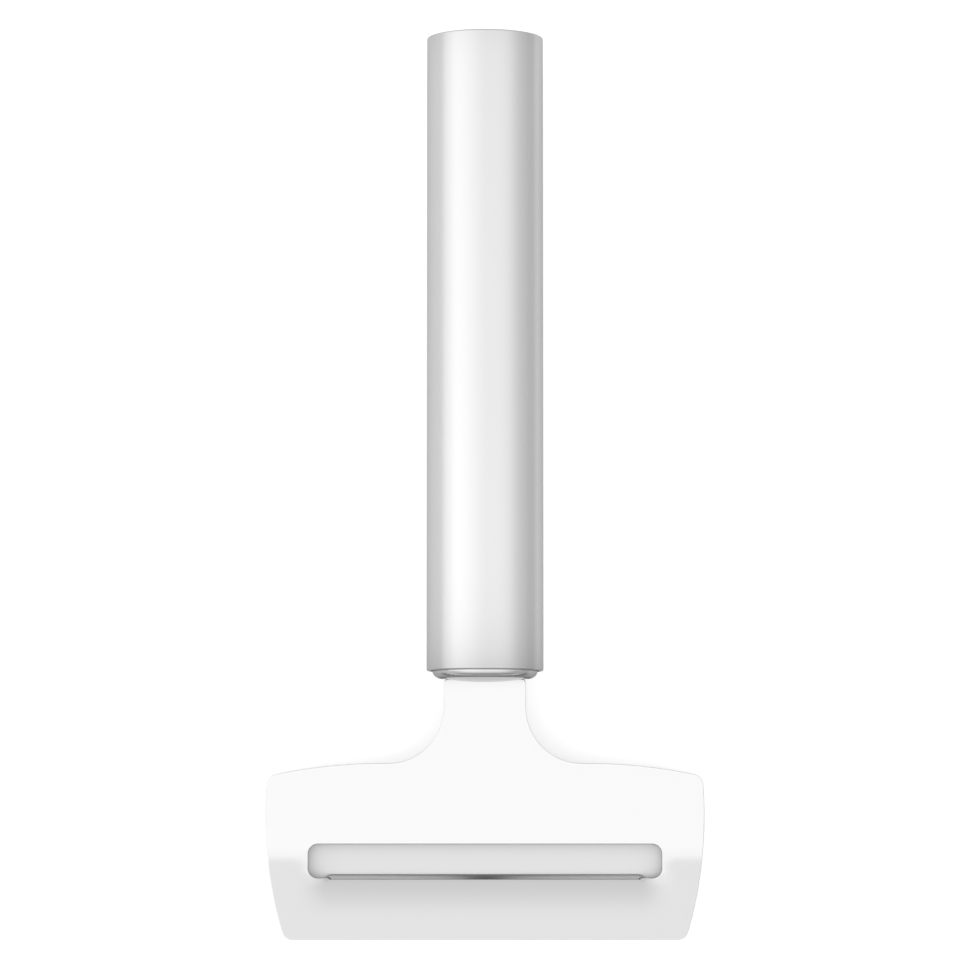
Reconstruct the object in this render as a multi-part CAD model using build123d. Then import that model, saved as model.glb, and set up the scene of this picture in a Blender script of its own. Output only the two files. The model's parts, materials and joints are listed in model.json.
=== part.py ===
from build123d import *
import os
from math import atan2, cos, degrees, radians, sin

# A cheese slicer: a round tube handle and a bent sheet blade with a slot.
# Lengths are millimetres and angles are degrees. The pieces are drawn with the handle's axis on Y,
# the handle's head-end rim at Y 0 and the blade running towards -Y. A reach is a distance ahead of
# that rim, towards the blade's tip. The last step lays the slicer down as it rests on a table.

# Handle tube
handle_length = 136.6
handle_radius = 12.5
tube_wall = 0.8
rim_chamfer = 0.4
bore_chamfer = 0.15

# Fits, and how far a cut runs past what it cuts
seat_clearance = 0.05
slit_clearance = 0.1
overrun = 1.0

# End cap, a shallow pressed cup in the free end
cap_sheet = 1.0
cap_skirt = 5.0
cap_recess = 0.25
cap_chamfer = 0.3

# Collar, a polished button that closes the head end
collar_groove = 0.24
groove_depth = 0.7
dome_rise = 2.3
dome_radius = 70.0
collar_round = 2.0
spigot_length = 6.0
spigot_chamfer = 0.4
socket_radius = 8.0
socket_depth = 2.0

# Blade sheet and its tang
sheet = 1.0
tang_width = 13.0
tang_depth = 56.0
tang_corner = 2.0
tang_hole_radius = 2.5
tang_hole_count = 3
tang_hole_start = 13.3
tang_hole_end = 8.0

# Neck
neck_width = 17.5
shoulder_reach = 1.9
shoulder_round = 0.9
neck_bend_reach = 2.4
neck_bend_radius = 10.0
slope_angle = 21.0
neck_fillet = 12.0

# Head outline, seen from above
head_reach = 19.5
head_width = 94.4
widest_reach = 31.5
side_radius = 84.0
back_straight = 44.0
back_radius = 115.0
back_corner = 2.4
tip_reach = 57.3
tip_corner = 2.3
edge_break = 0.25

# Fold across the head
fold_reach = 37.0
fold_radius = 20.0
tip_rise = 4.0

# Slot and the tongue that carries the cutting edge
slot_side_margin = 9.1
slot_near_reach = 36.76
slot_far_reach = 43.97
slot_corner = 2.1
edge_reach = 43.2
edge_foot_gap = 2.3
edge_end_gap = 4.4

# Pressed lip and its ground bevel
lip_root_reach = 53.3
lip_depth = 1.3
lip_end_gap = 1.7
lip_run_out = 7.4
lip_steps = 6
bevel_width = 1.18
bevel_end_share = 0.2
edge_land = 0.2
edge_flat = 0.15
straight_share = 0.001

# Moulded core round the tang
core_end_gap = 4.0
core_flute_radius = 2.6
core_flute_bite = 1.7
core_flute_count = 6
core_land = 5.0

# Sizes that follow from those above
bore_radius = handle_radius - tube_wall
plug_radius = bore_radius - seat_clearance
collar_radius = bore_radius - collar_groove
collar_depth = groove_depth + spigot_length
core_depth = tang_depth + core_end_gap
half_sheet = sheet / 2
tang_hole_first = collar_depth + tang_hole_start
tang_hole_pitch = (tang_depth - tang_hole_end - tang_hole_first) / (tang_hole_count - 1)
slot_width = head_width - 2 * slot_side_margin
edge_foot_width = slot_width - 2 * edge_foot_gap
edge_width = slot_width - 2 * edge_end_gap
lip_width = slot_width - 2 * lip_end_gap
lip_full_width = lip_width - 2 * lip_run_out

# Side plane: first coordinate the reach, second the height. Plan plane: X, then the reach.
side_plane = Plane(origin=(0, 0, 0), x_dir=(0, -1, 0), z_dir=(-1, 0, 0))
plan_plane = Plane(origin=(0, 0, 0), x_dir=(1, 0, 0), z_dir=(0, 0, -1))


def block(x_size, low_reach, high_reach, low_z, high_z):
    """A square block, centred on X 0."""
    centre = (0, -(low_reach + high_reach) / 2, (low_z + high_z) / 2)
    return Pos(*centre) * Box(x_size, high_reach - low_reach, high_z - low_z)


def strip(low_x, high_x, low_y, high_y):
    """A flat rectangle given by its sides."""
    return Pos((low_x + high_x) / 2, (low_y + high_y) / 2) * Rectangle(high_x - low_x, high_y - low_y)


# Handle tube: drawn stainless tube, its rims broken inside and out

def handle_tube():
    wall = strip(bore_radius, handle_radius, 0, handle_length)
    outer = [v for v in wall.vertices() if v.X > bore_radius + tube_wall / 2]
    wall = chamfer(outer, rim_chamfer)
    inner = [v for v in wall.vertices() if v.X < bore_radius + bore_chamfer]
    wall = chamfer(inner, bore_chamfer)
    return revolve(wall, Axis.Y)


# End cap: a shallow cup, its skirt gripped by the bore and its face just below the rim

def end_cap():
    face_y = handle_length - cap_recess
    cup = strip(0, plug_radius, face_y - cap_skirt, face_y)
    cup -= strip(-overrun, plug_radius - cap_sheet, face_y - cap_skirt - overrun, face_y - cap_sheet)
    rim = [v for v in cup.vertices() if v.X > plug_radius - cap_sheet / 2 and v.Y > face_y - cap_sheet]
    cup = chamfer(rim, cap_chamfer)
    return revolve(cup, Axis.Y)


# Collar: a turned plug with a domed face, slit for the blade and bored behind for the core's boss

def collar():
    button = strip(0, collar_radius, -dome_rise, groove_depth)
    button &= Pos(0, dome_radius - dome_rise) * Circle(dome_radius)
    brow = [v for v in button.vertices() if v.X > collar_radius / 2 and v.Y < groove_depth / 2]
    button = fillet(brow, collar_round)
    spigot = strip(0, plug_radius, groove_depth, collar_depth)
    tail = [v for v in spigot.vertices() if v.X > collar_radius / 2 and v.Y > collar_depth / 2]
    spigot = chamfer(tail, spigot_chamfer)
    socket = strip(-overrun, socket_radius, collar_depth - socket_depth, collar_depth + overrun)
    plug = revolve(button + spigot - socket, Axis.Y)
    slit = half_sheet + slit_clearance
    plug -= block(tang_width + 2 * slit_clearance, -collar_depth - overrun, dome_rise + overrun, -slit, slit)
    plug -= block(neck_width + 2 * slit_clearance, shoulder_reach, dome_rise + overrun, -slit, slit)
    return plug


# Blade, first its bent sheet as seen from the side

def turned(point, angle):
    """A vector turned by an angle about the side plane's normal."""
    c, s = cos(radians(angle)), sin(radians(angle))
    return (point[0] * c - point[1] * s, point[0] * s + point[1] * c)


fold_middle = (tip_rise - slope_angle) / 2
neck_bend_middle_radius = neck_bend_radius + half_sheet
fold_middle_radius = fold_radius + half_sheet


def slope_run():
    """Length of the straight slope between the neck's bend and the fold."""
    bend_end = neck_bend_reach + neck_bend_middle_radius * sin(radians(slope_angle))
    fold_half = fold_middle_radius * (sin(radians(fold_middle)) + sin(radians(slope_angle)))
    return (fold_reach - fold_half - bend_end) / cos(radians(slope_angle))


def tip_start():
    """Reach and height of the sheet's middle where the fold ends and the flat tip starts."""
    down, up = radians(slope_angle), radians(tip_rise)
    reach = fold_reach + fold_middle_radius * (sin(up) - sin(radians(fold_middle)))
    height = -neck_bend_middle_radius * (1 - cos(down)) - slope_run() * sin(down)
    height += fold_middle_radius * (cos(down) - cos(up))
    return reach, height


def tip_point(reach, side):
    """A point on the tip plate's upper (side 1) or lower (side -1) face."""
    start_reach, start_height = tip_start()
    shift_reach, shift_height = turned((0, side * half_sheet), tip_rise)
    rise = (reach - start_reach - shift_reach) * sin(radians(tip_rise)) / cos(radians(tip_rise))
    return reach, start_height + shift_height + rise


def sheet_face_line(side, end_reach):
    """The sheet's upper or lower line, from the tang's end to past the tip."""
    offset = side * half_sheet
    tang = Line((-tang_depth - overrun, offset), (neck_bend_reach, offset))
    bend = JernArc(tang @ 1, tang % 1, neck_bend_middle_radius + offset, -slope_angle)
    slope = Line(bend @ 1, bend @ 1 + (bend % 1) * slope_run())
    fold = JernArc(slope @ 1, slope % 1, fold_middle_radius - offset, slope_angle + tip_rise)
    tip = Line(fold @ 1, Vector(*tip_point(end_reach, side)))
    return [tang, bend, slope, fold, tip]


def bent_sheet():
    end_reach = tip_reach + overrun
    upper = sheet_face_line(1, end_reach)
    lower = sheet_face_line(-1, end_reach)
    ends = [Line(upper[0] @ 0, lower[0] @ 0), Line(upper[-1] @ 1, lower[-1] @ 1)]
    section = make_face(Curve() + upper + lower + ends)
    return extrude(side_plane * section, head_width, both=True)


# The blade's outline from above: tang, neck with swept shoulders, and the spread head

def plan_outline():
    side_centre = head_width / 2 - side_radius
    head = Pos(side_centre, widest_reach) * Circle(side_radius)
    head &= Pos(-side_centre, widest_reach) * Circle(side_radius)
    head &= Pos(0, head_reach + back_radius) * SlotCenterToCenter(back_straight, 2 * back_radius)
    head &= strip(-head_width, head_width, 0, tip_reach)
    tips = [v for v in head.vertices() if v.Y > tip_reach - tip_corner]
    head = fillet(tips, tip_corner)
    backs = [v for v in head.vertices() if v.Y < widest_reach and abs(v.X) > back_straight / 2 + back_corner]
    head = fillet(backs, back_corner)
    half_neck = neck_width / 2
    neck = strip(-half_neck, half_neck, shoulder_reach, head_reach + neck_fillet)
    shoulders = [v for v in neck.vertices() if v.Y < head_reach]
    neck = fillet(shoulders, shoulder_round)
    outline = head + neck
    roots = [v for v in outline.vertices() if abs(v.Y - head_reach) < slit_clearance]
    roots = [v for v in roots if abs(v.X) < half_neck + slit_clearance]
    outline = fillet(roots, neck_fillet)
    tang = strip(-tang_width / 2, tang_width / 2, -tang_depth, shoulder_reach + overrun)
    inner = [v for v in tang.vertices() if v.Y < 0]
    tang = fillet(inner, tang_corner)
    for count in range(tang_hole_count):
        tang -= Pos(0, -tang_hole_first - count * tang_hole_pitch) * Circle(tang_hole_radius)
    return outline + tang


# The slot through the head, and the tongue of the cutting edge that stands into it

def slot_shape():
    middle = (slot_near_reach + slot_far_reach) / 2
    return Pos(0, middle) * RectangleRounded(slot_width, slot_far_reach - slot_near_reach, slot_corner)


def tongue_shape():
    foot, edge = edge_foot_width / 2, edge_width / 2
    corners = [(edge, edge_reach), (foot, slot_far_reach), (foot, slot_far_reach + overrun)]
    corners += [(-x, reach) for x, reach in reversed(corners)]
    return make_face(Polyline(*corners, close=True))


# The lip: the sheet behind the slot, pressed down so that its edge stands below the sole

def press_share(x):
    """How much of the full press depth the lip has at X: all in the middle, none at its ends."""
    along = (abs(x) - lip_full_width / 2) / (lip_width / 2 - lip_full_width / 2)
    along = min(max(along, 0), 1)
    return 1 - along * along * (3 - 2 * along)


def lip_edge(x):
    """The cutting edge's point at X, on the sheet's lower face, and the sheet's angle there."""
    root_reach, root_height = tip_point(lip_root_reach, -1)
    height = tip_point(edge_reach, -1)[1] - lip_depth * press_share(x)
    chord_angle = degrees(atan2(root_height - height, root_reach - edge_reach))
    return (edge_reach, height), 2 * chord_angle - tip_rise


def stepped(point, along, up, angle):
    """A point shifted along and square to a sheet that lies at an angle."""
    step = turned((along, up), angle)
    return (point[0] + step[0], point[1] + step[1])


def lip_curve(start, end, x):
    """An arc that leaves the tip plate smoothly, or a line where the lip isn't pressed."""
    if press_share(x) < straight_share:
        return Line(start, end)
    return TangentArc(start, end, tangent=turned((-1, 0), tip_rise))


def lip_section(x):
    """The pressed sheet's section at X, before its edge is ground."""
    lower_root = tip_point(lip_root_reach, -1)
    upper_root = stepped(lower_root, 0, sheet, tip_rise)
    lower_edge, angle = lip_edge(x)
    upper_edge = stepped(lower_edge, 0, sheet, angle)
    sides = [lip_curve(upper_root, upper_edge, x), lip_curve(lower_root, lower_edge, x)]
    ends = [Line(upper_edge, lower_edge), Line(lower_root, upper_root)]
    return make_face(Curve() + sides + ends)


def bevel_section(x):
    """What grinding takes off the lip at X: a wedge over the bevel's face."""
    edge, angle = lip_edge(x)
    slant = radians(angle)
    far = max(abs(x) - edge_width / 2, 0) / ((lip_width - edge_width) / 2)
    width = (bevel_width + sheet * sin(slant)) / cos(slant) * (1 - far * (1 - bevel_end_share))
    rise = sheet - edge_land
    corners = [(-width, edge_land - rise), (2 * width, sheet + rise), (-width, sheet + rise)]
    return make_face(Polyline(*[stepped(edge, *corner, angle) for corner in corners], close=True))


def side_section(face, x):
    """A section drawn in the side plane, stood at X."""
    return Pos(x, 0, 0) * (side_plane * face)


def lip_stations():
    """Places along X from the lip's full-depth stretch to its end."""
    near, far = lip_full_width / 2, lip_width / 2
    return [near + (far - near) * step / lip_steps for step in range(lip_steps + 1)]


def along_lip(section, smooth):
    """A section run the whole width of the lip: even in the middle, changing towards both ends."""
    stations = lip_stations()
    middle = extrude(side_plane * section(0), stations[0], both=True)
    run = loft([side_section(section(x), x) for x in stations], ruled=not smooth)
    return middle + run + mirror(run, Plane.YZ)


def lip_opening():
    """The part of the flat head that the pressed lip takes the place of."""
    root = tip_point(lip_root_reach, -1)
    top = stepped(root, 0, sheet + overrun, tip_rise)
    bottom = stepped(root, 0, -overrun, tip_rise)
    middle = (slot_near_reach + slot_far_reach) / 2
    corners = [top, bottom, (middle, bottom[1] - overrun), (middle, top[1] + overrun)]
    return extrude(side_plane * make_face(Polyline(*corners, close=True)), lip_width / 2, both=True)


def upright(sketch):
    """A plan shape run up and down past the whole blade."""
    return extrude(plan_plane * sketch, handle_length, both=True)


def flat_height():
    """Height of the narrow flat honed under the cutting edge, level with the handle's axis."""
    (edge_ahead, edge_height), angle = lip_edge(0)
    return edge_height + edge_flat * sin(radians(angle)) / cos(radians(angle))


def pressed_lip():
    lip = along_lip(lip_section, True) - along_lip(bevel_section, False)
    lip -= block(lip_width, edge_reach - overrun, lip_root_reach, flat_height() - lip_depth, flat_height())
    return lip - upright(slot_shape() - tongue_shape())


def sheet_edges(plate, low_reach, high_reach, half_width):
    """Edges where upright cut walls meet the sheet's faces, within a stretch of the plan."""
    found = []
    for wall in plate.faces():
        if abs(wall.normal_at().Z) > straight_share:
            continue
        for line in wall.edges():
            middle = line.center()
            level = abs((line % 0.5).Z) < abs((line % 0.5).X) + abs((line % 0.5).Y)
            inside = low_reach < -middle.Y < high_reach and abs(middle.X) < half_width
            if level and inside and not any(line.is_same(other) for other in found):
                found.append(line)
    return found


def blade():
    plate = bent_sheet() & upright(plan_outline())
    rim = sheet_edges(plate, shoulder_reach + shoulder_round, tip_reach + overrun, head_width)
    plate = chamfer(rim, edge_break)
    plate -= upright(slot_shape())
    slot_low, slot_high = slot_near_reach - overrun, slot_far_reach + overrun
    plate = chamfer(sheet_edges(plate, slot_low, slot_high, slot_width / 2 + overrun), edge_break)
    return plate - lip_opening() + pressed_lip()


# Core: plastic moulded round the tang and through its holes, pushed into the tube with it

def tang_core(blade_piece):
    body = strip(0, plug_radius, collar_depth, core_depth)
    body += strip(0, socket_radius - seat_clearance, collar_depth - socket_depth, collar_depth + overrun)
    core = revolve(body, Axis.Y)
    flute_length = core_depth - collar_depth - 2 * core_land
    middle = collar_depth + core_land + flute_length / 2
    flute = Cylinder(core_flute_radius, flute_length)
    reach_out = plug_radius + core_flute_radius - core_flute_bite
    for count in range(core_flute_count):
        angle = 360 * (count + 0.5) / core_flute_count
        spot = Pos(0, middle, 0) * Rot(0, angle, 0) * Pos(reach_out, 0, 0) * Rot(90, 0, 0)
        core -= spot * flute
    return core - blade_piece


# Resting place: the free end's lower rim and the cutting edge both on the table

def rest_angle():
    """Angle that the line under the cutting edge and the free end's rim makes with the handle."""
    run = handle_length - rim_chamfer + edge_reach
    return degrees(atan2(-handle_radius - flat_height(), run))


def laid_down(pieces):
    """Turns the slicer onto the table and puts the origin under the middle of its box."""
    turned_pieces = {name: Rot(-rest_angle(), 0, 0) * piece for name, piece in pieces.items()}
    box = Compound(list(turned_pieces.values())).bounding_box()
    shift = Pos(0, -box.center().Y, -box.min.Z)
    return {name: shift * piece for name, piece in turned_pieces.items()}


def slicer():
    blade_piece = blade()
    pieces = {
        "handle_tube": handle_tube(),
        "end_cap": end_cap(),
        "collar": collar(),
        "blade": blade_piece,
        "tang_core": tang_core(blade_piece),
    }
    return laid_down(pieces)


os.makedirs("parts", exist_ok=True)
for node, shape in slicer().items():
    export_step(shape, f"parts/{node}.step")
print("rest angle", round(rest_angle(), 3))
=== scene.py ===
import bpy
import bmesh
import json
import math
from mathutils import Matrix, Vector


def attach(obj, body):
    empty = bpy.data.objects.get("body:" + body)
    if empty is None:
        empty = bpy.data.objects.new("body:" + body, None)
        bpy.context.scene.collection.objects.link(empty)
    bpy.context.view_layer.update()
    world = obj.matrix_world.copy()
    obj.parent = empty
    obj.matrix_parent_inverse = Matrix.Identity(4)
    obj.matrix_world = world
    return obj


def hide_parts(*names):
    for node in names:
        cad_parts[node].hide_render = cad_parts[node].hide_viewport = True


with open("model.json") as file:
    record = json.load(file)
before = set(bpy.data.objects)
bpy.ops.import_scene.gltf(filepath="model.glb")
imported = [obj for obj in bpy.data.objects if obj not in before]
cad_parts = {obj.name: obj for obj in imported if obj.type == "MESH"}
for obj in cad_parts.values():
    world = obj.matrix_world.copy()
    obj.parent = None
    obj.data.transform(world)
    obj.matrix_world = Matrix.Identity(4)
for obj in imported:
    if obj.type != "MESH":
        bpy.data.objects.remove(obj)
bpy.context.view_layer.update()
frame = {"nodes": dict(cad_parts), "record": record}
scene = bpy.context.scene

# Where the slicer lies. The handle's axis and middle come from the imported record. Every piece is drawn with
# that axis on Y and the tube's head-end rim at Y 0, the blade towards -Y, and then laid down along it.
handle_length = 0.1366
handle_radius = 0.0125
grip = next(mount for mount in frame["record"]["mounts"] if mount["name"] == "handle_grip")
handle_axis = Vector(grip["axis"]).normalized()
handle_square = Vector((0, -handle_axis.z, handle_axis.y))
rim_centre = Vector(grip["pos_m"]) - handle_axis * handle_length / 2
tilt = math.asin(handle_axis.z)


def laid_down(piece):
    """Turns a piece from the drawn frame to where the slicer lies, and leaves its object at the origin."""
    piece.data.transform(Matrix.Translation(rim_centre) @ Matrix.Rotation(tilt, 4, "X"))
    piece.data.update()


# Camera. It hangs 1.05 m above the handle and leans 4.7 degrees towards the blade, with a long lens, which
# gives the picture's size, the tube's slight widening and the curve of its two rims.
camera_distance = 1.0546
camera_lean = math.radians(4.693)
camera_ahead = 0.039791
camera_lens = 182.64
sensor_width = 36
nearest_seen = 0.01
camera_data = bpy.data.cameras.new("camera")
camera_data.sensor_fit = "HORIZONTAL"
camera_data.sensor_width = sensor_width
camera_data.lens = camera_lens
camera_data.clip_start = nearest_seen
camera = bpy.data.objects.new("camera", camera_data)
scene.collection.objects.link(camera)
camera_back = handle_square * math.cos(camera_lean) - handle_axis * math.sin(camera_lean)
camera.location = rim_centre + handle_axis * camera_ahead + camera_back * camera_distance
camera.rotation_euler = camera_back.to_track_quat("Z", "Y").to_euler()
scene.camera = camera
scene.view_settings.view_transform = "Standard"


# Studio. A bright tent all round, brightest on the left, dimmer on the right and behind, and dim low down in
# front, so that the steel has something soft to mirror. It lights the slicer from all sides at a plain level.
class Wire:
    """A node's output that sums can be written with."""

    def __init__(self, tree, socket):
        self.tree = tree
        self.socket = socket

    def maths(self, operation, first, second=0.0):
        return self.tree.add("Math", {"operation": operation}, {0: first, 1: second})

    def __add__(self, other):
        return self.maths("ADD", self, other)

    def __radd__(self, other):
        return self.maths("ADD", other, self)

    def __sub__(self, other):
        return self.maths("SUBTRACT", self, other)

    def __rsub__(self, other):
        return self.maths("SUBTRACT", other, self)

    def __mul__(self, other):
        return self.maths("MULTIPLY", self, other)

    def __rmul__(self, other):
        return self.maths("MULTIPLY", other, self)

    def __abs__(self):
        return self.maths("ABSOLUTE", self)

    def exp(self):
        return self.maths("EXPONENT", self)


class Tree:
    """The node tree of a material or the world, emptied and ready for new nodes."""

    def __init__(self, owner):
        owner.use_nodes = True
        self.tree = owner.node_tree
        self.tree.nodes.clear()

    def add(self, kind, settings, inputs, output=0):
        """A new node: its settings first, then the values or wires of its sockets."""
        node = self.tree.nodes.new("ShaderNode" + kind)
        for name, value in settings.items():
            if name == "stops":
                ramp = node.color_ramp
                while len(ramp.elements) < len(value):
                    ramp.elements.new(1.0)
                for element, (place, level) in zip(ramp.elements, value):
                    element.position = place
                    element.color = grey(level)
            else:
                setattr(node, name, value)
        for name, value in inputs.items():
            if isinstance(value, Wire):
                self.tree.links.new(value.socket, node.inputs[name])
            else:
                node.inputs[name].default_value = value
        return Wire(self, node.outputs[output]) if node.outputs else None


def grey(level):
    """A colour with no hue."""
    return level, level, level, 1


def along_axis(tree, vector, axis):
    """One part of a vector: X, Y or Z."""
    return tree.add("SeparateXYZ", {}, {0: vector}, axis)


def ramped(tree, value, zero_at, one_at):
    """A mask that rises smoothly from 0 to 1 as a value goes from one place to another."""
    return tree.add("MapRange", {"interpolation_type": "SMOOTHSTEP"}, {
        "Value": value, "From Min": zero_at, "From Max": one_at, "To Min": 0.0, "To Max": 1.0})


across_stops = [
    (0.0, 0.817), (0.02, 0.856), (0.06, 1.0), (0.14, 0.966), (0.21, 0.945), (0.305, 0.889), (0.405, 0.851),
    (0.47, 0.8125), (0.52, 0.806), (0.71, 0.815), (0.80, 0.793), (0.886, 0.736), (0.95, 0.587), (1.0, 0.481)]
along_stops = [
    (0.0, 0.72), (0.014, 0.78), (0.063, 0.88), (0.12, 0.97), (0.155, 1.0), (0.38, 1.0), (0.47, 0.96),
    (0.50, 0.885), (0.54, 0.8125), (0.60, 0.806), (0.638, 0.769), (0.695, 0.683), (0.75, 0.625),
    (0.79, 0.567), (1.0, 0.53)]
tent_strength = 1.591
front_dimming = 0.55
front_band = (-0.25, -0.55)
low_band = (0.72, -0.05)

world = bpy.data.worlds.new("studio_tent")
scene.world = world
tree = Tree(world)
direction = tree.add("TexCoord", {}, {}, "Generated")
across = along_axis(tree, direction, "X")
along = along_axis(tree, direction, "Y")
across_level = tree.add("ValToRGB", {"stops": across_stops}, {"Fac": across * 0.5 + 0.5})
along_level = tree.add("ValToRGB", {"stops": along_stops}, {"Fac": along * 0.5 + 0.5})
upward = along_axis(tree, direction, "Z")
low_in_front = ramped(tree, along, *front_band) * ramped(tree, upward, *low_band)
tent_level = across_level * along_level * (1 - low_in_front * front_dimming) * tent_strength
tent = tree.add("Background", {}, {"Color": grey(1), "Strength": tent_level})
tree.add("OutputWorld", {}, {"Surface": tent})


# Floor. A plain white board that the slicer lies on. It keeps the slicer's shadow, and for the camera it is
# lighter than the light makes it, so that it reads as white paper, but hardly under the blade: a painted
# shadow patch there, which the slot shows. For mirrored rays it is painted darker beyond the blade, on the
# right and
# straight ahead, as the tent is: painted shade in the steel's reflection.
floor_size = 6.0
paper_tone = 0.70
# Painted shade in the steel's reflection: the board's tone for mirrored rays on the right and straight ahead.
mirrored_right_shade_tone = 0.54
right_band = (0.046, 0.052)
mirrored_ahead_shade_tone = 0.34
ahead_band = (0.10, 0.13)
ahead_spread = 0.5
ahead_edge = (0.02, 0.0)
floor_lift = 0.55
floor_sheen = 0.04
slot_lift = 0.05
blade_middle = 0.080
blade_sides = (0.046, 0.039)
blade_ends = (0.0150, 0.0055)


def mixed(tree, mask, plain, marked):
    """One colour where a mask is 0, and another where it is 1."""
    return tree.add("Mix", {"data_type": "RGBA"}, {0: mask, 6: plain, 7: marked}, 2)


bpy.ops.mesh.primitive_plane_add(size=floor_size, location=(0, 0, 0))
floor = bpy.context.object
floor.name = "floor"
board = bpy.data.materials.new("white_board")
tree = Tree(board)
place = tree.add("TexCoord", {}, {}, "Object")
rightward = along_axis(tree, place, "X")
forward = along_axis(tree, place, "Y") * -1.0
seen = tree.add("LightPath", {}, {}, "Is Camera Ray")
mirrored = tree.add("LightPath", {}, {}, "Is Glossy Ray")
# Painted shade in the steel's reflection: mirrored rays see the board darker on the right and straight ahead.
painted_shade_right = ramped(tree, rightward, *right_band) * mirrored
straight_ahead = ramped(tree, abs(rightward) - forward * ahead_spread, *ahead_edge)
painted_shade_ahead = ramped(tree, forward, *ahead_band) * straight_ahead * mirrored
tone = mixed(tree, painted_shade_right, grey(paper_tone), grey(mirrored_right_shade_tone))
tone = mixed(tree, painted_shade_ahead, tone, grey(mirrored_ahead_shade_tone))
paper = tree.add("BsdfDiffuse", {}, {"Color": tone})
# Painted shadow patch: under the blade the lift is cut by place, so the board shows grey through the slot.
within_sides = ramped(tree, abs(rightward), *blade_sides)
painted_shadow_under_blade = within_sides * ramped(tree, abs(forward - blade_middle), *blade_ends)
lift_level = (painted_shadow_under_blade * (slot_lift - floor_lift) + floor_lift) * seen
lift_level = lift_level + (mirrored - painted_shade_right) * floor_sheen
lift = tree.add("Emission", {}, {"Color": grey(1), "Strength": lift_level})
both = tree.add("AddShader", {}, {0: paper, 1: lift})
tree.add("OutputMaterial", {}, {"Surface": both})
floor.data.materials.append(board)


# Handle tube. Drawn stainless tube with a thin wall, brushed satin along its length, its two rims rolled
# smooth. It carries all the other pieces.
tube_wall = 0.0008
rim_round = 0.0004
end_rim_round = 0.00035
bore_round = 0.00015
tube_sides = 256
near = 0.00001
crease_angle = math.radians(22)
normal_weight = 80
steel_tint = 0.85
streak_height = 0.00002
matt_tone = 0.78
matt_roughness = 0.27
brushing = 0.02
brushing_scale = (12000, 150, 12000)
# Painted shade: the tube's tone darkens towards its head end, and a little towards its free end.
head_rim_shade_tone = 0.58
head_rim_fade = 0.0065
end_rim_tone = 0.72
end_rim_fade = 0.004


def fresh(piece_name):
    """Names the primitive that was just added and puts its place into its mesh."""
    piece = bpy.context.object
    piece.name = piece_name
    piece.data.name = piece_name
    bpy.ops.object.transform_apply(location=True, rotation=True, scale=True)
    return piece


def round_stock(piece_name, radius, start, length, ends):
    """The round that a piece is drawn or turned from, along the axis from its start."""
    bpy.ops.object.select_all(action="DESELECT")
    bpy.ops.mesh.primitive_cylinder_add(
        vertices=tube_sides, radius=radius, depth=length, end_fill_type=ends,
        location=(0, start + length / 2, 0), rotation=(math.pi / 2, 0, 0))
    return fresh(piece_name)


def applied(piece, kind, **settings):
    """Adds a modifier to a piece and applies it."""
    modifier = piece.modifiers.new(kind, kind)
    for name, value in settings.items():
        setattr(modifier, name, value)
    bpy.ops.object.modifier_apply(modifier=kind)


def picked(piece, mode, wanted):
    """In edit mode, selects the edges or faces that a test wants."""
    bpy.ops.object.mode_set(mode="EDIT")
    bpy.ops.mesh.select_mode(type=mode)
    bpy.ops.mesh.select_all(action="DESELECT")
    work = bmesh.from_edit_mesh(piece.data)
    for element in work.edges if mode == "EDGE" else work.faces:
        if wanted(element):
            element.select_set(True)
    work.select_flush_mode()
    bmesh.update_edit_mesh(piece.data)


def rounded(piece, radius, reaches, rounding, segments):
    """Rounds the edges that run round the axis at one radius, at given places along it."""
    def on_rim(edge):
        ends = [vert.co for vert in edge.verts]
        on_radius = all(abs(math.hypot(end.x, end.z) - radius) < near for end in ends)
        return on_radius and any(all(abs(end.y - reach) < near for end in ends) for reach in reaches)
    picked(piece, "EDGE", on_rim)
    bpy.ops.mesh.bevel(offset=rounding, segments=segments, affect="EDGES")


def finished(piece, material, node):
    """Closes a piece: back to object mode, smooth faces, its material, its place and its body."""
    bpy.ops.object.mode_set(mode="OBJECT")
    bpy.ops.object.shade_smooth_by_angle(angle=crease_angle)
    applied(piece, "WEIGHTED_NORMAL", keep_sharp=True, weight=normal_weight)
    piece.data.materials.clear()
    piece.data.materials.append(material)
    laid_down(piece)
    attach(piece, "root")
    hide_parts(node)


def drawn_place(tree):
    """Object coordinates turned back to the drawn frame, so that a pattern runs true along the handle."""
    place = tree.add("TexCoord", {}, {}, "Object")
    return tree.add("Mapping", {"vector_type": "TEXTURE"}, {
        "Vector": place, "Location": rim_centre, "Rotation": (tilt, 0, 0)})


def steel(name, tone, edge_tint, roughness, streak, streak_scale, marks):
    """Steel brushed or polished along the handle: streaks that change how sharp it mirrors. The edge tint is
    how much it mirrors at a glancing look. Marks are places with another tone and roughness, each a mask with
    its own tone and roughness; some of them are painted shade."""
    material = bpy.data.materials.new(name)
    tree = Tree(material)
    place = drawn_place(tree)
    stretched = tree.add("VectorMath", {"operation": "MULTIPLY"}, {0: place, 1: streak_scale})
    lines = tree.add("TexNoise", {}, {"Vector": stretched, "Scale": 1.0, "Detail": 3.0, "Roughness": 0.6})
    bump = tree.add("Bump", {}, {"Strength": streak, "Distance": streak_height, "Height": lines})
    colour = grey(tone)
    dullness = lines * streak + (roughness - streak / 2)
    for mask, mark_tone, mark_roughness in marks(tree, place):
        colour = mixed(tree, mask, colour, grey(mark_tone))
        dullness = dullness * (1 - mask) + mask * mark_roughness
    shader = tree.add("BsdfPrincipled", {}, {
        "Base Color": colour, "Metallic": 1.0, "Roughness": dullness, "Specular Tint": grey(edge_tint),
        "Normal": bump})
    tree.add("OutputMaterial", {}, {"Surface": shader})
    return material


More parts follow.
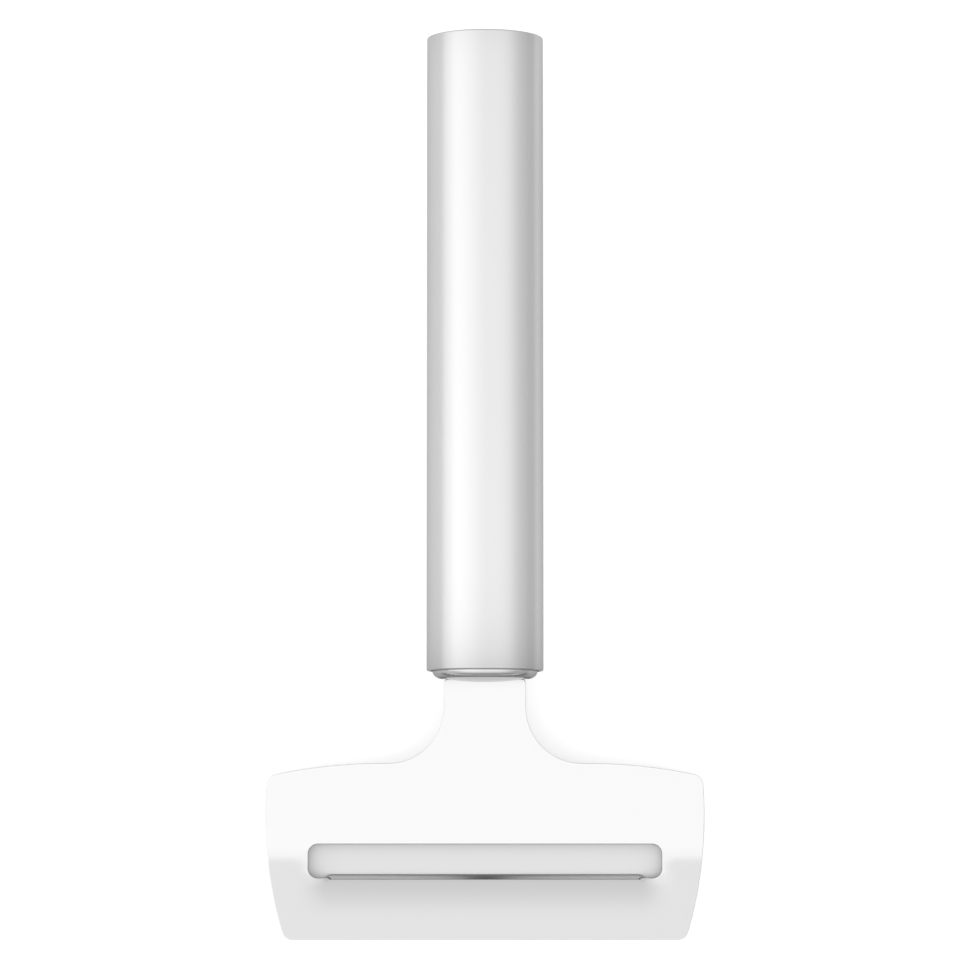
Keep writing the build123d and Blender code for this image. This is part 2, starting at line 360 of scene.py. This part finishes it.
def rims_painted_darker(tree, place):
    """The tube's tone darkened towards both ends: painted shade at the head end, and a lighter darkening at
    the free end.
    """
    reach = along_axis(tree, place, "Y")
    shade_at_head = (reach * (-1 / head_rim_fade)).exp()
    at_end = ((reach - handle_length) * (1 / end_rim_fade)).exp()
    return [(shade_at_head, head_rim_shade_tone, matt_roughness), (at_end, end_rim_tone, matt_roughness)]


matt_steel = steel(
    "matt_steel", matt_tone, steel_tint, matt_roughness, brushing, brushing_scale, rims_painted_darker)
tube = round_stock("handle_tube_shell", handle_radius, 0, handle_length, "NOTHING")
applied(tube, "SOLIDIFY", thickness=tube_wall, offset=-1)
rounded(tube, handle_radius, (0,), rim_round, segments=6)
rounded(tube, handle_radius, (handle_length,), end_rim_round, segments=6)
rounded(tube, handle_radius - tube_wall, (0, handle_length), bore_round, segments=3)
finished(tube, matt_steel, "handle_tube")

# End cap. A shallow cup pressed from the same steel, its skirt gripped by the tube's bore and its face just
# below the rim.
seat_clearance = 0.00005
cap_sheet = 0.001
cap_skirt = 0.005
cap_recess = 0.00025
cap_round = 0.0003
cap_rings = 6
square_on = 0.9
cap_radius = handle_radius - tube_wall - seat_clearance
cap_reach = handle_length - cap_recess


def faces_blade(face):
    """Whether a face looks along the handle towards the blade."""
    return face.normal.y < -square_on


def cap_face(face):
    """Whether a face is the cap's outer one."""
    return face.normal.y > square_on and face.calc_center_median().xz.length < near


cap = round_stock("end_cap_cup", cap_radius, cap_reach - cap_skirt, cap_skirt, "NGON")
picked(cap, "FACE", faces_blade)
bpy.ops.mesh.delete(type="FACE")
bpy.ops.object.mode_set(mode="OBJECT")
applied(cap, "SOLIDIFY", thickness=cap_sheet, offset=-1)
rounded(cap, cap_radius, (cap_reach,), cap_round, segments=5)
picked(cap, "FACE", cap_face)
for ring in range(1, cap_rings):
    bpy.ops.mesh.inset(thickness=cap_radius / cap_rings)
finished(cap, matt_steel, "end_cap")

# Collar. A turned and mirror-polished button that closes the head end: a spigot in the bore, a fine groove
# inside the rim, a rounded brow and a slightly domed face with the slit that the blade comes out of.
collar_groove = 0.0004
groove_depth = 0.0007
dome_rise = 0.00235
dome_radius = 0.058
dome_rings = 8
brow_round = 0.0018
brow_steps = 16
spigot_length = 0.006
sheet = 0.001
slit_clearance = 0.0001
slit_overrun = 0.01
tang_width = 0.013
neck_width = 0.0175
shoulder_reach = 0.0017
polish_tone = 0.60
polish_tint = 0.75
polish_roughness = 0.12
polishing = 0.01
polishing_scale = (3000, 3000, 3000)
joint_tone = 0.30
joint_band = (0.00020, 0.00008)
# Painted shade: a dark line round the domed face, where no groove is cut.
shade_line_tone = 0.22
shade_line_band = (0.00014, 0.00004)
shade_line_from = (0.0091, 0.0093)
dull_roughness = 0.40
collar_radius = cap_radius + seat_clearance - collar_groove
face_radius = collar_radius - brow_round
face_reach = dome_rise - (dome_radius - math.sqrt(dome_radius ** 2 - face_radius ** 2))
brow_start = brow_round - face_reach


def dome_reach(radius):
    """How far the domed face stands ahead of the rim at a radius."""
    return dome_rise - dome_radius + math.sqrt(dome_radius ** 2 - radius ** 2)


def joint_and_shade_line(tree, place):
    """The joint with the tube's rim, dull and dark, and a painted shade line round the edge of the face, dull
    and dark too.
    """
    reach = along_axis(tree, place, "Y") * -1.0
    beside_axis = tree.add("VectorMath", {"operation": "MULTIPLY"}, {0: place, 1: (1, 0, 1)})
    off_axis = tree.add("VectorMath", {"operation": "LENGTH"}, {0: beside_axis}, "Value")
    at_rim = ramped(tree, reach, *joint_band)
    painted_shade_line = ramped(tree, abs(reach - face_reach), *shade_line_band) * ramped(tree, off_axis, *shade_line_from)
    return [(at_rim, joint_tone, dull_roughness), (painted_shade_line, shade_line_tone, dull_roughness)]


def flat_plug(width, low_reach, high_reach):
    """A thin box that cuts the blade's slit."""
    bpy.ops.object.select_all(action="DESELECT")
    bpy.ops.mesh.primitive_cube_add(
        size=1, location=(0, -(low_reach + high_reach) / 2, 0),
        scale=(width + 2 * slit_clearance, high_reach - low_reach, sheet + 2 * slit_clearance))
    return fresh("slit_cutter")


polished_steel = steel(
    "polished_steel", polish_tone, polish_tint, polish_roughness, polishing, polishing_scale, joint_and_shade_line)
collar = round_stock("collar_button", cap_radius, groove_depth, spigot_length, "NGON")
picked(collar, "FACE", faces_blade)
bpy.ops.mesh.inset(thickness=cap_radius - collar_radius)
bpy.ops.mesh.extrude_region_move(TRANSFORM_OT_translate={"value": (0, brow_start - groove_depth, 0)})
for step in range(brow_steps):
    low = math.pi / 2 * step / brow_steps
    high = math.pi / 2 * (step + 1) / brow_steps
    bpy.ops.mesh.extrude_region_move(
        TRANSFORM_OT_translate={"value": (0, -brow_round * (math.sin(high) - math.sin(low)), 0)})
    bpy.ops.transform.resize(value=[
        (face_radius + brow_round * math.cos(high)) / (face_radius + brow_round * math.cos(low))] * 3)
for ring in range(1, dome_rings):
    inner = face_radius * (1 - ring / dome_rings)
    outer = face_radius * (1 - (ring - 1) / dome_rings)
    bpy.ops.mesh.inset(thickness=outer - inner)
    bpy.ops.transform.translate(value=(0, dome_reach(outer) - dome_reach(inner), 0))
bpy.ops.object.mode_set(mode="OBJECT")
cutters = [flat_plug(tang_width, -slit_overrun, slit_overrun),
           flat_plug(neck_width, shoulder_reach, slit_overrun)]
bpy.ops.object.select_all(action="DESELECT")
bpy.context.view_layer.objects.active = collar
for cutter in cutters:
    applied(collar, "BOOLEAN", operation="DIFFERENCE", solver="EXACT", object=cutter)
    bpy.data.objects.remove(cutter)
finished(collar, polished_steel, "collar")

# Blade. One stainless sheet from the hidden tang to the tip: stamped out flat, its rims rounded, then bent
# down at the collar and up again across the head. Past the slot it is pressed down to a lip, whose ground
# edge stands into the slot.
sheet_round = 0.00018
tang_depth = 0.056
tang_corner = 0.002
tang_hole_radius = 0.0025
tang_holes = (0.020, 0.034, 0.048)
shoulder_round = 0.0009
neck_fillet = 0.012
head_reach = 0.0195
head_width = 0.0944
widest_reach = 0.0315
side_radius = 0.084
back_straight = 0.044
back_radius = 0.115
back_corner = 0.0024
tip_reach = 0.0573
tip_corner = 0.0023
slot_width = 0.0762
slot_near_reach = 0.03676
slot_far_reach = 0.04397
slot_corner = 0.0021
edge_reach = 0.0432
edge_foot_width = 0.0704
edge_width = 0.0662
edge_ramp_shares = (0, 0.15, 0.3, 0.5, 0.7, 0.85, 1)
neck_bend_reach = 0.0016
neck_bend_end = 0.0068
neck_bend_radius = 0.0143
slope_angle = math.radians(21)
fold_reach = 0.037
fold_radius = 0.020
fold_lines = (0.0320, 0.0440)
tip_rise = math.radians(4)
lip_root_reach = 0.0533
lip_depth = 0.00124
lip_width = 0.084
lip_full_width = 0.066
lip_lines = 20
bevel_width = 0.00118
edge_land = 0.0002
half_sheet = sheet / 2
arc_step = math.radians(4)
arc_run = 0.002
neck_bend_step = 0.0004
fold_step = 0.0005
hair = 0.000001
flat_angle = math.radians(0.2)
blade_tone = 0.74
blade_roughness = 0.12
rolling = 0.02
rolling_scale = (4000, 300, 4000)
# Painted shade: the slot's wall is painted much darker than the sheet; only its roughness is the punched
# finish.
slot_wall_shade_tone = 0.22
punched_roughness = 0.45
ground_tone = 0.62
ground_roughness = 0.09
steep_band = (0.87, 0.80)
mark_margin = 0.0002
mark_blur = 0.0001


def arc(centre, radius, start, end):
    """Points of an arc in the plan, from one angle to another."""
    sweep = end - start
    steps = max(2, math.ceil(abs(sweep) / arc_step), math.ceil(abs(sweep) * radius / arc_run))
    angles = [start + sweep * step / steps for step in range(steps + 1)]
    return [(centre[0] + radius * math.cos(angle), centre[1] + radius * math.sin(angle)) for angle in angles]


def heading(start, end):
    """The angle of the line from one point to another."""
    return math.atan2(end[1] - start[1], end[0] - start[0])


def inside_both(first, first_radius, second, second_radius):
    """The rightmost point at given distances from two centres."""
    gap = math.dist(first, second)
    along = (gap ** 2 + first_radius ** 2 - second_radius ** 2) / (2 * gap)
    across = math.sqrt(first_radius ** 2 - along ** 2)
    turn = heading(first, second)
    points = [(first[0] + along * math.cos(turn) - side * across * math.sin(turn),
               first[1] + along * math.sin(turn) + side * across * math.cos(turn)) for side in (-1, 1)]
    return max(points)


def half_outline():
    """The right half of the flat blank, from the tang's end to the tip: X, then the reach."""
    quarter = math.pi / 2
    half_tang, half_neck = tang_width / 2, neck_width / 2
    side = (head_width / 2 - side_radius, widest_reach)
    back = (back_straight / 2, head_reach + back_radius)
    corner = inside_both(back, back_radius - back_corner, side, side_radius - back_corner)
    tip_in = side_radius - tip_corner
    tip_up = tip_reach - tip_corner - widest_reach
    tip = (side[0] + math.sqrt(tip_in ** 2 - tip_up ** 2), tip_reach - tip_corner)
    points = arc((half_tang - tang_corner, -tang_depth + tang_corner), tang_corner, -quarter, 0)
    points += [(half_tang, shoulder_reach)]
    points += arc((half_neck - shoulder_round, shoulder_reach + shoulder_round), shoulder_round, -quarter, 0)
    points += arc((half_neck + neck_fillet, head_reach - neck_fillet), neck_fillet, math.pi, quarter)
    points += arc(back, back_radius, -quarter, heading(back, corner))
    points += arc(corner, back_corner, heading(back, corner), heading(side, corner))[1:]
    points += arc(side, side_radius, heading(side, corner), heading(side, tip))[1:]
    points += arc(tip, tip_corner, heading(side, tip), quarter)[1:]
    return points


def eased(value, start, end):
    """A share that grows smoothly from 0 to 1 as a value goes from start to end."""
    share = min(max((value - start) / (end - start), 0), 1)
    return share * share * (3 - 2 * share)


def edge_ramp():
    """The right end of the cutting edge, which eases back to the slot's far side: X, then the reach."""
    return [(edge_foot_width / 2 + (edge_width - edge_foot_width) / 2 * share,
             slot_far_reach + (edge_reach - slot_far_reach) * eased(share, 0, 1))
            for share in edge_ramp_shares]


def slot_outline():
    """The right half of the slot, with the tongue of the cutting edge standing into it."""
    quarter = math.pi / 2
    half = slot_width / 2 - slot_corner
    points = arc((half, slot_near_reach + slot_corner), slot_corner, -quarter, 0)
    points += arc((half, slot_far_reach - slot_corner), slot_corner, 0, quarter)
    return points + edge_ramp()


def both_halves(points):
    """A half outline and its mirror image, as one closed run."""
    return points + [(-x, reach) for x, reach in reversed(points)]


def middle_line(reach):
    """Height and slope of the sheet's middle, as the slicer is seen from the side."""
    bend = neck_bend_radius + half_sheet
    fold = fold_radius + half_sheet
    fold_middle = (tip_rise - slope_angle) / 2
    slope_start = neck_bend_reach + bend * math.sin(slope_angle)
    fold_start = fold_reach - fold * (math.sin(fold_middle) + math.sin(slope_angle))
    fold_end = fold_reach + fold * (math.sin(tip_rise) - math.sin(fold_middle))
    if reach <= neck_bend_reach:
        return 0.0, 0.0
    if reach <= slope_start:
        turn = math.asin((reach - neck_bend_reach) / bend)
        return -bend * (1 - math.cos(turn)), -math.tan(turn)
    slope_drop = bend * (1 - math.cos(slope_angle))
    if reach <= fold_start:
        return -slope_drop - (reach - slope_start) * math.tan(slope_angle), -math.tan(slope_angle)
    fold_drop = slope_drop + (fold_start - slope_start) * math.tan(slope_angle)
    fold_top = fold * math.cos(slope_angle) - fold_drop
    if reach <= fold_end:
        turn = math.asin((reach - fold_start) / fold - math.sin(slope_angle))
        return fold_top - fold * math.cos(turn), math.tan(turn)
    return fold_top - fold * math.cos(tip_rise) + (reach - fold_end) * math.tan(tip_rise), math.tan(tip_rise)


def press_share(x, reach):
    """How much of the full press depth the lip has: all in the middle, fading beyond the slot's ends."""
    beside_slot = eased(abs(x), slot_width / 2 - slot_corner * 2, slot_width / 2)
    past_slot = eased(reach, slot_near_reach + slot_corner, slot_far_reach + slot_corner)
    return (1 - eased(abs(x), lip_full_width / 2, lip_width / 2)) * (1 - beside_slot * (1 - past_slot))


def pressed(x, reach, level):
    """Height of a point of the flat blank once the blade is bent and pressed."""
    height, slope = middle_line(reach)
    low = height - half_sheet * math.sqrt(1 + slope ** 2)
    if slot_near_reach + slot_corner < reach < lip_root_reach and abs(x) < lip_width / 2:
        reach_in = (lip_root_reach - reach) / (lip_root_reach - edge_reach)
        low -= lip_depth * press_share(x, reach) * min(reach_in, 1) ** 2
        slope += 2 * lip_depth * press_share(x, reach) * reach_in / (lip_root_reach - edge_reach)
    return low + (level + half_sheet) * math.sqrt(1 + slope ** 2)


def ground(x, reach, level):
    """Level in the sheet, above or below its middle, once the bevel is ground at the cutting edge. Past the
    edge's ends the bevel runs out to the slot's far side."""
    run_out = max(abs(x) - edge_width / 2, 0) / ((edge_foot_width - edge_width) / 2)
    bevel_end = edge_reach + bevel_width - run_out * (edge_reach + bevel_width - slot_far_reach)
    if reach > bevel_end or reach < slot_far_reach - slot_corner or run_out > 1:
        return level
    if level < -half_sheet + sheet_round + hair and reach < edge_reach + sheet_round and run_out == 0:
        return -half_sheet
    return min(level, half_sheet - (sheet - edge_land) / bevel_width * (bevel_end - reach))


def over_lip(face):
    """Whether a face lies where the lip is pressed."""
    return slot_near_reach + slot_corner < -face.calc_center_median().y < lip_root_reach


def near_ramp(face):
    """Whether a face lies round an end of the cutting edge."""
    beside = abs(face.calc_center_median().x)
    return over_lip(face) and edge_width / 2 - near < beside < edge_foot_width / 2 + near


def cut_line(wanted, point, normal):
    """Cuts a line through the faces that a test wants, so that the sheet can bend there."""
    picked(blade, "FACE", wanted)
    bpy.ops.mesh.bisect(plane_co=point, plane_no=normal, threshold=hair)


def cut_across(low_reach, high_reach, step):
    """Lines across the blade, so that it can bend between two reaches."""
    for count in range(round((high_reach - low_reach) / step) + 1):
        cut_line(lambda face: True, (0, -low_reach - count * step, 0), (0, 1, 0))


def up_to(tree, value, limit):
    """A mask that ends at a limit."""
    return ramped(tree, value, limit + mark_blur, limit)


def down_to(tree, value, limit):
    """A mask that starts at a limit."""
    return ramped(tree, value, limit - mark_blur, limit)


def cut_faces(tree, place):
    """The slot's punched wall, rougher than the sheet and painted darker as painted shade, and the ground
    face of the cutting edge.
    """
    across = abs(along_axis(tree, place, "X"))
    reach = along_axis(tree, place, "Y") * -1.0
    normal = tree.add("NewGeometry", {}, {}, "Normal")
    steep = ramped(tree, abs(along_axis(tree, normal, "Z")), *steep_band)
    on_lip = down_to(tree, reach, edge_reach - mark_margin) * up_to(tree, across, edge_foot_width / 2)
    in_slot = (up_to(tree, across, slot_width / 2 + mark_margin)
               * down_to(tree, reach, slot_near_reach - mark_margin)
               * up_to(tree, reach, slot_far_reach + mark_margin))
    on_bevel = on_lip * steep * up_to(tree, reach, edge_reach + bevel_width + mark_blur)
    return [(in_slot * steep * (1 - on_lip), slot_wall_shade_tone, punched_roughness),
            (on_bevel, ground_tone, ground_roughness)]


blade_steel = steel(
    "blade_steel", blade_tone, steel_tint, blade_roughness, rolling, rolling_scale, cut_faces)
outline = bpy.data.curves.new("blade_blank", "CURVE")
outline.dimensions = "2D"
outline.fill_mode = "BOTH"
outline.extrude = half_sheet - sheet_round
outline.bevel_depth = sheet_round
outline.bevel_resolution = 5
outline.offset = -sheet_round
holes = [arc((0, -depth), tang_hole_radius, 0, 2 * math.pi)[:-1] for depth in tang_holes]
for points in [both_halves(half_outline()), both_halves(slot_outline())[::-1]] + holes:
    spline = outline.splines.new("POLY")
    spline.points.add(len(points) - 1)
    for point, (x, reach) in zip(spline.points, points):
        point.co = (x, -reach, 0, 1)
    spline.use_cyclic_u = True
blank = bpy.data.objects.new("blade_sheet", outline)
scene.collection.objects.link(blank)
bpy.ops.object.select_all(action="DESELECT")
blank.select_set(True)
bpy.context.view_layer.objects.active = blank
bpy.ops.object.convert(target="MESH")
blade = bpy.context.object
picked(blade, "FACE", lambda face: True)
bpy.ops.mesh.remove_doubles(threshold=hair)
bpy.ops.mesh.dissolve_limited(angle_limit=flat_angle)
cut_across(neck_bend_reach, neck_bend_end, neck_bend_step)
cut_across(*fold_lines, fold_step)
cut_across(edge_reach + bevel_width, lip_root_reach, fold_step)
for side in (-1, 1):
    for count in range(lip_lines):
        beside = lip_full_width / 2 + (lip_width - lip_full_width) / 2 * count / (lip_lines - 1)
        cut_line(over_lip, (side * beside, 0, 0), (1, 0, 0))
    for x, reach in edge_ramp():
        cut_line(over_lip, (side * x, 0, 0), (1, 0, 0))
    cut_line(near_ramp, (side * edge_foot_width / 2, -slot_far_reach, 0),
             (edge_reach + bevel_width - slot_far_reach, side * (edge_width - edge_foot_width) / 2, 0))
bpy.ops.object.mode_set(mode="OBJECT")
for vert in blade.data.vertices:
    x, y, level = vert.co
    vert.co.z = pressed(x, -y, ground(x, -y, level))
finished(blade, blade_steel, "blade")

# Core. Dark plastic moulded round the tang and through its holes, with a fine moulded grain. It fills the
# tube behind the collar, out of sight, and is the solid of the frame itself.
core_dark = 0.14
core_light = 0.18
cloud_scale = 120.0
grain_scale = 2500.0
grain_strength = 0.3
grain_height = 0.00005
grain_dullness = 0.15
core_roughness = 0.45
core_plastic = bpy.data.materials.new("core_plastic")
tree = Tree(core_plastic)
place = drawn_place(tree)
grain = tree.add("TexNoise", {}, {"Vector": place, "Scale": grain_scale, "Detail": 4.0, "Roughness": 0.6})
clouds = tree.add("TexNoise", {}, {"Vector": place, "Scale": cloud_scale, "Detail": 2.0})
colour = mixed(tree, clouds, grey(core_dark), grey(core_light))
bump = tree.add("Bump", {}, {"Strength": grain_strength, "Distance": grain_height, "Height": grain})
shader = tree.add("BsdfPrincipled", {}, {
    "Base Color": colour, "Roughness": grain * grain_dullness + core_roughness, "Normal": bump})
tree.add("OutputMaterial", {}, {"Surface": shader})
core_mesh = frame["nodes"]["tang_core"].data
core_mesh.materials.clear()
core_mesh.materials.append(core_plastic)
